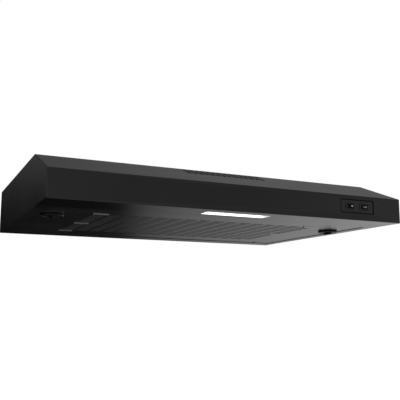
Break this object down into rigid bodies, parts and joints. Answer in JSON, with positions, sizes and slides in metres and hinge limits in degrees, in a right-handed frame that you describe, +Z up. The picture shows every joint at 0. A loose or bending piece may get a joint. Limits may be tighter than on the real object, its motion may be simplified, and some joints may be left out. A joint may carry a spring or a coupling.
{
  "type": "under cabinet range hood",
  "caption": "Low, wide under-cabinet range hood with a sloped front edge, louvred hinged filter panel, lamp strip, rocker switches, blower and duct collar.",
  "frame": {"origin": "middle of the flat top face that is screwed up against the cabinet, on its surface", "axes": "+X to the right across the width as seen from the front, +Y towards the wall, +Z up; the front faces -Y"},
  "size_m": [0.76, 0.5605, 0.1368],
  "materials": {
    "black_paint": "satin black baked paint on sheet steel",
    "black_plastic": "moulded black plastic, fine texture",
    "galvanised": "galvanised sheet",
    "plated_steel": "zinc plated steel",
    "filter_mesh": "layered aluminium mesh",
    "charcoal": "charcoal-loaded foam",
    "opal_lens": "opal diffuser",
    "circuit_board": "solder-masked board",
    "grey_plastic": "moulded grey plastic",
    "white_nylon": "moulded white plastic",
    "wire_sleeve": "flexible black sleeve"
  },
  "bodies": {
    "housing": {"hood_shell": "black_paint", "left_side_panel": "black_paint", "right_side_panel": "black_paint", "rear_panel": "black_paint", "inlet_ring": "black_plastic", "switch_plate": "black_plastic", "light_switch_body": "black_plastic", "fan_switch_body": "black_plastic", "cable_gland": "black_plastic", "gland_nut": "black_plastic", "duct_collar": "galvanised", "blower_housing": "galvanised", "motor_body": "galvanised", "wiring_box": "galvanised", "wiring_box_cover": "galvanised", "damper_pin": "plated_steel", "motor_bracket": "plated_steel", "cover_screw": "plated_steel", "ground_screw": "plated_steel", "capacitor_clip": "plated_steel", "left_hinge_bracket": "plated_steel", "right_hinge_bracket": "plated_steel", "collar_screw_1": "plated_steel", "collar_screw_2": "plated_steel", "collar_screw_3": "plated_steel", "collar_screw_4": "plated_steel", "blower_screw_1": "plated_steel", "blower_screw_2": "plated_steel", "blower_screw_3": "plated_steel", "blower_screw_4": "plated_steel", "lamp_lens": "opal_lens", "lamp_board": "circuit_board", "lamp_driver": "grey_plastic", "capacitor": "grey_plastic", "lamp_housing": "white_nylon", "terminal_block": "white_nylon", "switch_lead": "wire_sleeve", "lamp_lead": "wire_sleeve"},
    "filter_door": {"filter_panel": "black_paint", "grease_filter_frame": "plated_steel", "grease_filter_mesh": "filter_mesh", "charcoal_pad": "charcoal", "left_filter_clip": "plated_steel", "right_filter_clip": "plated_steel", "left_hinge_pin": "plated_steel", "right_hinge_pin": "plated_steel"},
    "left_latch": {"left_latch_knob": "black_plastic", "left_latch_tongue": "plated_steel", "left_latch_screw": "plated_steel"},
    "right_latch": {"right_latch_knob": "black_plastic", "right_latch_tongue": "plated_steel", "right_latch_screw": "plated_steel"},
    "fan_wheel": {"impeller": "white_nylon", "motor_shaft": "plated_steel", "shaft_nut": "plated_steel"},
    "light_button": {"light_rocker": "black_plastic"},
    "fan_button": {"fan_rocker": "black_plastic"},
    "damper": {"damper_flap": "galvanised"}
  },
  "joints": [
    {"name": "filter_door_hinge", "type": "hinge", "parent": "housing", "child": "filter_door", "pos_m": [0, 0.159, -0.0926], "axis": [1, 0, 0], "range_deg": [0, 75]},
    {"name": "left_latch_turn", "type": "hinge", "parent": "filter_door", "child": "left_latch", "pos_m": [-0.33, -0.151, -0.1009], "axis": [0, 0, 1], "range_deg": [0, 90]},
    {"name": "right_latch_turn", "type": "hinge", "parent": "filter_door", "child": "right_latch", "pos_m": [0.33, -0.151, -0.1009], "axis": [0, 0, -1], "range_deg": [0, 90]},
    {"name": "fan_wheel_spin", "type": "hinge", "parent": "housing", "child": "fan_wheel", "pos_m": [0, -0.051, -0.04], "axis": [0, 0, 1], "continuous": true},
    {"name": "light_button_tip", "type": "hinge", "parent": "housing", "child": "light_button", "pos_m": [0.2465, -0.338, -0.07245], "axis": [0, 0, 1], "range_deg": [0, 14]},
    {"name": "fan_button_tip", "type": "hinge", "parent": "housing", "child": "fan_button", "pos_m": [0.283, -0.338, -0.07245], "axis": [0, 0, 1], "range_deg": [-7, 7]},
    {"name": "damper_swing", "type": "hinge", "parent": "housing", "child": "damper", "pos_m": [0, 0.1898, 0.009], "axis": [-1, 0, 0], "range_deg": [0, 75]}
  ]
}
